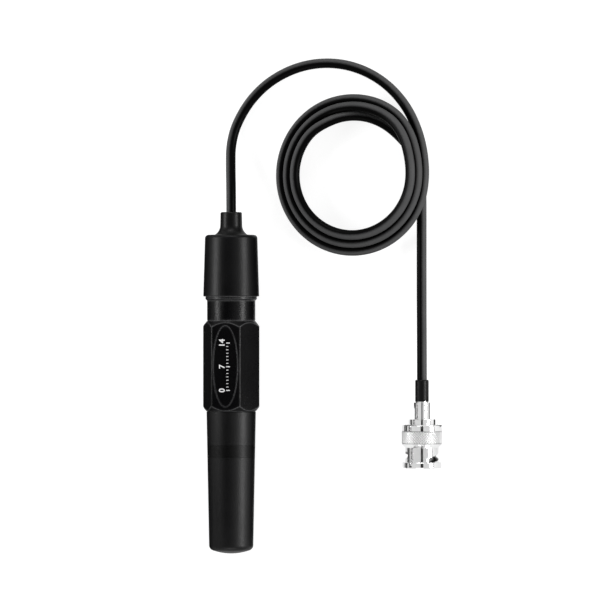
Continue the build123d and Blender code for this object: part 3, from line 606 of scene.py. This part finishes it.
def clear_glass():
    """Blown glass: clear, with slow waves in its wall."""
    material, tree = finish_named("bulb_glass")
    waves = noise(tree, place_on_piece(tree, (1, 0.4, 1)), 0.003, 1.0)
    tint = color_mix(tree, waves, (0.90, 0.95, 0.95), (0.97, 0.99, 0.99))
    surfaced(tree, tint, 0.03 + waves * 0.03, waves, 0.00008, IOR=1.47, Transmission_Weight=0.9)
    return material


def drawn_metal(name, tone, roughness, grain, stretch):
    """Metal with a fine grain drawn out along or round the piece."""
    material, tree = finish_named(name)
    lines = noise(tree, place_on_piece(tree, stretch), grain, 3.0)
    cloud = noise(tree, place_on_piece(tree), 0.002, 2.0)
    dark = tuple(0.82 * value for value in tone)
    color = color_mix(tree, cloud * 0.6 + lines * 0.4, dark, tone)
    varied = roughness + lines * 0.12 + cloud * 0.06
    surfaced(tree, color, varied, lines, grain * 0.05, Metallic=1.0)
    return material


def cast_resin(name, low, high, size, roughness):
    """Cast or fired filler with a mottled body."""
    material, tree = finish_named(name)
    mottle = noise(tree, place_on_piece(tree), size, 5.0, 0.6)
    color = color_mix(tree, mottle, low, high)
    surfaced(tree, color, roughness + mottle * 0.15, mottle, size * 0.08)
    return material


drawn_along, turned_round = (1, 0.1, 1), (1, 6, 1)
silver = drawn_metal(
    "chlorided_silver", (0.42, 0.38, 0.36), roughness=0.45, grain=0.0001, stretch=drawn_along,
)
sealing_resin = cast_resin(
    "sealing_resin", (0.10, 0.06, 0.02), (0.30, 0.20, 0.10), size=0.0012, roughness=0.25,
)
porous_ceramic = cast_resin(
    "porous_ceramic", (0.70, 0.68, 0.62), (0.92, 0.90, 0.86), size=0.0002, roughness=0.8,
)
dress(clear_glass(), "glass_sensor")
dress(silver, "inner_wire", "reference_wire")
dress(sealing_resin, "upper_seal")
dress(porous_ceramic, "ceramic_junction")


# Joint in the top cap: the lead's white core and copper screen, stripped and
# crimped to the sensor's wires. The plug grips the core and braid of its far end.
core_plastic = cast_resin(
    "core_plastic", (0.74, 0.74, 0.70), (0.88, 0.88, 0.84), size=0.0008, roughness=0.4,
)
copper = drawn_metal(
    "crimp_copper", (0.80, 0.43, 0.28), roughness=0.25, grain=0.0001, stretch=drawn_along,
)
dress(core_plastic, "lead_core", "plug_core")
dress(copper, "signal_crimp", "screen_crimp", "screen_tail", "plug_braid")


# Plug: turned brass parts in bright nickel, with a gilt pin in a white
# insulator. The sprung nut turns on the body.
plug_axis = Vector((0.0688, 0, 0.00725))


def turned_nickel(name, shaded_below, unshaded_above, tones=(0.16, 0.97), rough=(0.32, 0.07)):
    """Bright nickel with turning lines, and painted shade: darker and rougher inside, where the radius
    is small.
    """
    material, tree = finish_named(name)
    place = place_on_piece(tree)
    apart = tree.node("ShaderNodeSeparateXYZ", None, {"Vector": place})
    across = Wire(tree.tree, apart.socket.node.outputs["X"]) - plug_axis.x
    upwards = Wire(tree.tree, apart.socket.node.outputs["Z"]) - plug_axis.z
    radius = tree.math("SQRT", across * across + upwards * upwards)
    # painted shade: full below the first radius, none above the second
    out_of_shade = tree.node(
        "ShaderNodeMapRange", None,
        {"Value": radius, "From Min": shaded_below, "From Max": unshaded_above},
    )
    lines = noise(tree, place_on_piece(tree, (0.05, 1, 0.05)), 0.00007, 2.0)
    cloud = noise(tree, place, 0.0012, 3.0)
    share = out_of_shade * (0.88 + cloud * 0.16 + lines * 0.06)
    color = color_mix(tree, share, (tones[0],) * 3, (tones[1],) * 3)
    roughness = rough[0] - out_of_shade * (rough[0] - rough[1]) + cloud * 0.05
    surfaced(tree, color, roughness, lines, 0.000004, Metallic=1.0)
    return material


nickel = turned_nickel("turned_nickel", shaded_below=0.0005, unshaded_above=0.0012)
# painted shade darkens the inside of the outer contact
contact_nickel = turned_nickel("contact_nickel", shaded_below=0.0035, unshaded_above=0.009)
spring_steel = drawn_metal(
    "spring_steel", (0.50, 0.50, 0.52), roughness=0.25, grain=0.0001, stretch=turned_round,
)
gilt = drawn_metal(
    "gilt", (0.86, 0.62, 0.24), roughness=0.16, grain=0.00008, stretch=turned_round,
)
white_polymer = cast_resin(
    "white_polymer", (0.80, 0.80, 0.78), (0.90, 0.90, 0.89), size=0.002, roughness=0.35,
)
gasket_silicone = cast_resin(
    "gasket_silicone", (0.42, 0.08, 0.05), (0.52, 0.13, 0.09), size=0.001, roughness=0.45,
)
dress(nickel, "crimp_ferrule", "plug_body", "cable_clamp")
dress(contact_nickel, "outer_contact")
dress(spring_steel, "thrust_washer", "retaining_ring")
dress(gilt, "centre_contact")
dress(white_polymer, "insulator")
dress(gasket_silicone, "face_gasket")


# Spring: two coned washers inside the coupling nut, against the body's front flange.
def merged_copy(name):
    """A copy of a node with its loose triangles merged, and made the piece being worked on."""
    bpy.ops.object.select_all(action="DESELECT")
    nodes[name].select_set(True)
    bpy.context.view_layer.objects.active = nodes[name]
    bpy.ops.object.duplicate()
    bpy.ops.object.mode_set(mode="EDIT")
    bpy.ops.mesh.select_all(action="SELECT")
    bpy.ops.mesh.remove_doubles(threshold=1e-7)
    bpy.ops.object.mode_set(mode="OBJECT")
    bpy.ops.mesh.customdata_custom_splitnormals_clear()
    bpy.ops.object.shade_smooth_by_angle(angle=radians(25))
    return bpy.context.object


merged_copy("spring_washers")
spring = settle("spring_pair", "electrode", spring_steel)
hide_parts("spring_washers")
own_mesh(spring)


# Coupling nut: turned with its two curved slots, then rolled with a crossed
# knurl, which stands in a shallow band of its own.
nut_low, nut_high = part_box("coupling_nut")
nut_middle = (nut_low + nut_high) / 2
knurl_radius = (nut_high.x - nut_low.x) / 2
knurl_depth = 0.00028
knurl_root = knurl_radius - knurl_depth
knurl_width = 0.0046
plain_rear_rim = 0.0021
knurl_rear = nut_high.y - plain_rear_rim
knurl_front = knurl_rear - knurl_width
knurl_columns = 46
knurl_rows = 5
place_slack = 1e-6
radius_slack = 1e-5


def select_only(piece, kind, chosen):
    """Goes into edit mode with only those faces or edges of a piece selected that are chosen."""
    bpy.ops.object.mode_set(mode="EDIT")
    bpy.ops.mesh.select_mode(type=kind)
    bpy.ops.mesh.select_all(action="DESELECT")
    bpy.ops.object.mode_set(mode="OBJECT")
    parts = piece.data.polygons if kind == "FACE" else piece.data.edges
    for part in parts:
        part.select = chosen(part)
    bpy.ops.object.mode_set(mode="EDIT")


def is_plain_band(face):
    """Says whether a face of the turned nut lies in the band that the knurl takes."""
    corners = [nut_turned.data.vertices[index].co for index in face.vertices]
    on_band = all(knurl_front - place_slack < corner.y < knurl_rear + place_slack for corner in corners)
    least_radius = min((corner.xz - nut_middle.xz).length for corner in corners)
    faces_outwards = abs(face.normal.y) < 0.1
    return on_band and least_radius > knurl_radius - radius_slack and faces_outwards


nut_turned = merged_copy("coupling_nut")
select_only(nut_turned, "FACE", is_plain_band)
bpy.ops.mesh.delete(type="FACE")
bpy.ops.object.mode_set(mode="OBJECT")
# painted shade on the nut's inner walls, below the knurl's band
nut_nickel = turned_nickel("nut_nickel", shaded_below=0.0053, unshaded_above=0.0060)
settle("nut_turned", "coupling_nut", nut_nickel)
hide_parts("coupling_nut")

bpy.ops.object.select_all(action="DESELECT")
bpy.ops.mesh.primitive_cylinder_add(
    vertices=knurl_columns, radius=knurl_root, depth=knurl_rear - knurl_front,
    end_fill_type="NOTHING", location=(nut_middle.x, (knurl_rear + knurl_front) / 2, nut_middle.z),
    rotation=(pi / 2, 0, 0),
)
bpy.ops.object.transform_apply(location=True, rotation=True, scale=True)
knurl = bpy.context.object
bpy.ops.object.mode_set(mode="EDIT")
for row in range(1, knurl_rows):
    bpy.ops.mesh.select_all(action="SELECT")
    row_y = knurl_front + (knurl_rear - knurl_front) * row / knurl_rows
    bpy.ops.mesh.bisect(plane_co=(0, row_y, 0), plane_no=(0, 1, 0))
bpy.ops.mesh.select_all(action="SELECT")
bpy.ops.object.mode_set(mode="OBJECT")
square_corners = len(knurl.data.vertices)


def is_square_side(edge):
    """Says whether an edge parts two squares of the band, and isn't one of its round ends."""
    ends = [knurl.data.vertices[index].co.y for index in edge.vertices]
    at_end = all(min(abs(y - knurl_rear), abs(y - knurl_front)) < place_slack for y in ends)
    round_end = at_end and abs(ends[0] - ends[1]) < place_slack
    return max(edge.vertices) < square_corners and not round_end


# Each square is split over its middle, and the sides between squares go, which
# leaves the crossed diamonds. Each diamond is then raised to a point.
bpy.ops.object.mode_set(mode="EDIT")
bpy.ops.mesh.poke()
select_only(knurl, "EDGE", is_square_side)
bpy.ops.mesh.dissolve_edges(use_verts=False)
select_only(knurl, "FACE", lambda face: len(face.vertices) == 4)
bpy.ops.mesh.poke(offset=knurl_depth)
bpy.ops.mesh.select_mode(type="EDGE")
bpy.ops.mesh.select_all(action="DESELECT")
bpy.ops.mesh.select_non_manifold()
bpy.ops.mesh.extrude_region_move()
end_growth = knurl_radius / knurl_root
bpy.ops.transform.resize(value=(end_growth, 1, end_growth), center_override=nut_middle)
bpy.ops.object.mode_set(mode="OBJECT")
# painted shade down in the knurl's grooves
knurl_nickel = turned_nickel(
    "knurl_nickel", shaded_below=knurl_root, unshaded_above=knurl_radius - knurl_depth * 0.65,
    tones=(0.30, 0.88), rough=(0.5, 0.38),
)
nut_knurl = settle("nut_knurl", "coupling_nut", knurl_nickel)
